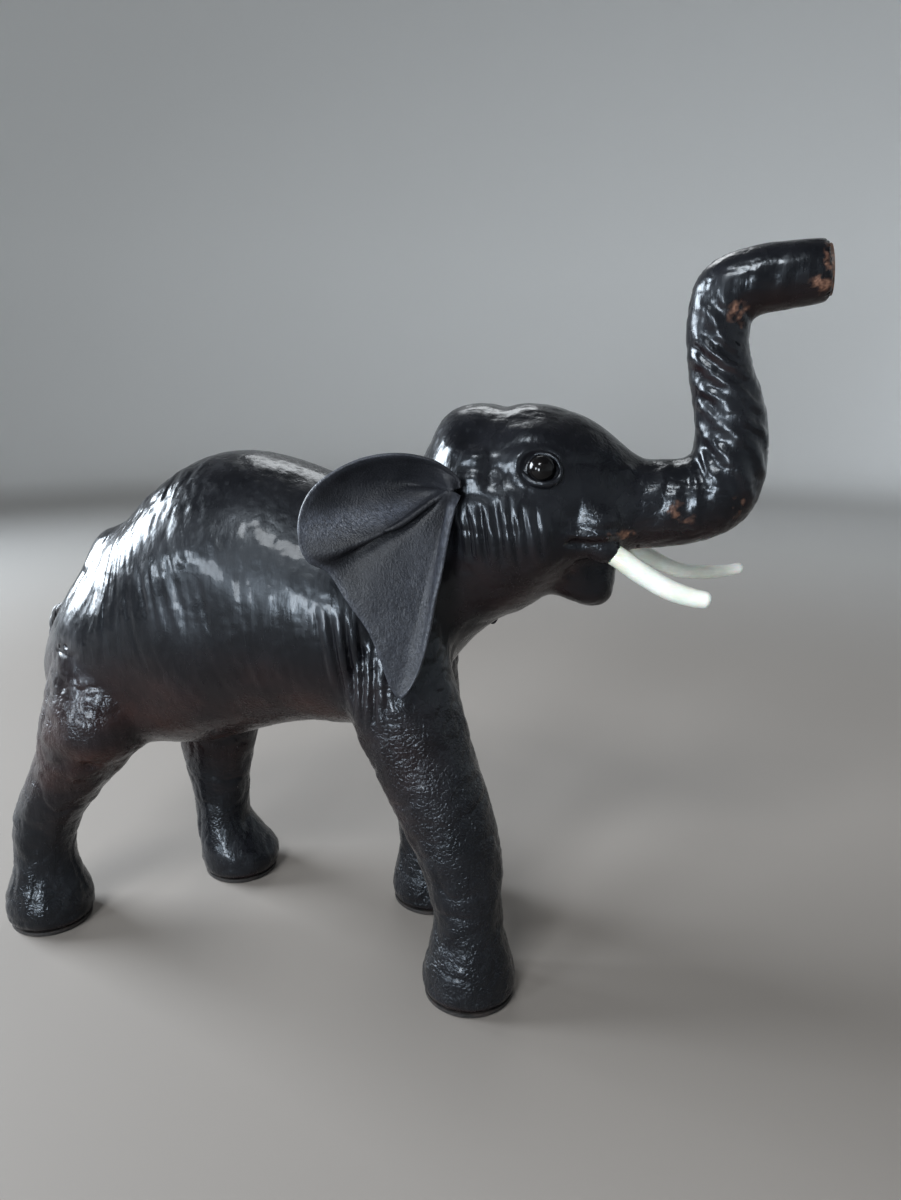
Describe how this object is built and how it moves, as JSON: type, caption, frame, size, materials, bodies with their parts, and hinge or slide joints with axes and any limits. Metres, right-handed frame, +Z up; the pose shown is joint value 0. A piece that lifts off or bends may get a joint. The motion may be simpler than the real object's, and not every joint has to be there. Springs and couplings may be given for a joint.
{
  "type": "elephant figurine",
  "caption": "Walking elephant figurine with raised trunk: leather skin over a pegged carved wooden core, with flexible ears and tail, glass eyes and curved tusks.",
  "frame": {"origin": "bottom centre of the bounding box of the whole figure, on the plane of the soles", "axes": "+X towards the head and trunk, +Y to the elephant's left, +Z up"},
  "size_m": [0.2988, 0.114, 0.2577],
  "materials": {
    "carved_wood": "carved and sanded, unfinished",
    "peg_wood": "turned dowel",
    "skin_leather": "thin black hide, glued and wrinkled, shoe-polish gloss worn brown on high spots",
    "ear_leather": "black hide, satin, visible grain",
    "sole_leather": "dark brown, scuffed",
    "tip_leather": "black worn through to brown",
    "tail_leather": "rolled black hide",
    "eye_glass": "polished dark glass",
    "steel_wire": "drawn wire",
    "tack_steel": "blackened",
    "tusk_resin": "cast, polished"
  },
  "bodies": {
    "figure": {"torso_core": "carved_wood", "head_core": "carved_wood", "trunk_core": "carved_wood", "torso_leather": "skin_leather", "head_leather": "skin_leather", "trunk_leather": "skin_leather", "trunk_tip": "tip_leather", "right_front_leg_core": "carved_wood", "right_front_leg_leather": "skin_leather", "right_front_sole": "sole_leather", "left_front_leg_core": "carved_wood", "left_front_leg_leather": "skin_leather", "left_front_sole": "sole_leather", "right_hind_leg_core": "carved_wood", "right_hind_leg_leather": "skin_leather", "right_hind_sole": "sole_leather", "left_hind_leg_core": "carved_wood", "left_hind_leg_leather": "skin_leather", "left_hind_sole": "sole_leather", "leg_pegs": "peg_wood", "neck_pegs": "peg_wood", "trunk_peg": "peg_wood", "right_eye": "eye_glass", "left_eye": "eye_glass", "eye_wires": "steel_wire", "right_eyelid": "skin_leather", "left_eyelid": "skin_leather", "right_tusk": "tusk_resin", "left_tusk": "tusk_resin", "ear_tacks": "tack_steel"},
    "right_ear": {"right_ear": "ear_leather"},
    "left_ear": {"left_ear": "ear_leather"},
    "tail": {"tail": "tail_leather", "tail_tuft": "tail_leather"}
  },
  "joints": [
    {"name": "right_ear_flex", "type": "hinge", "parent": "figure", "child": "right_ear", "pos_m": [0.04039, -0.03549, 0.1835], "axis": [0, 0, 1], "range_deg": [0, 15], "stiffness_Nm_per_rad": 0.01},
    {"name": "left_ear_flex", "type": "hinge", "parent": "figure", "child": "left_ear", "pos_m": [0.04039, 0.02751, 0.1835], "axis": [0, 0, -1], "range_deg": [0, 15], "stiffness_Nm_per_rad": 0.01},
    {"name": "tail_swing", "type": "hinge", "parent": "figure", "child": "tail", "pos_m": [-0.12711, -0.00399, 0.127], "axis": [1, 0, 0], "range_deg": [-20, 20]}
  ]
}
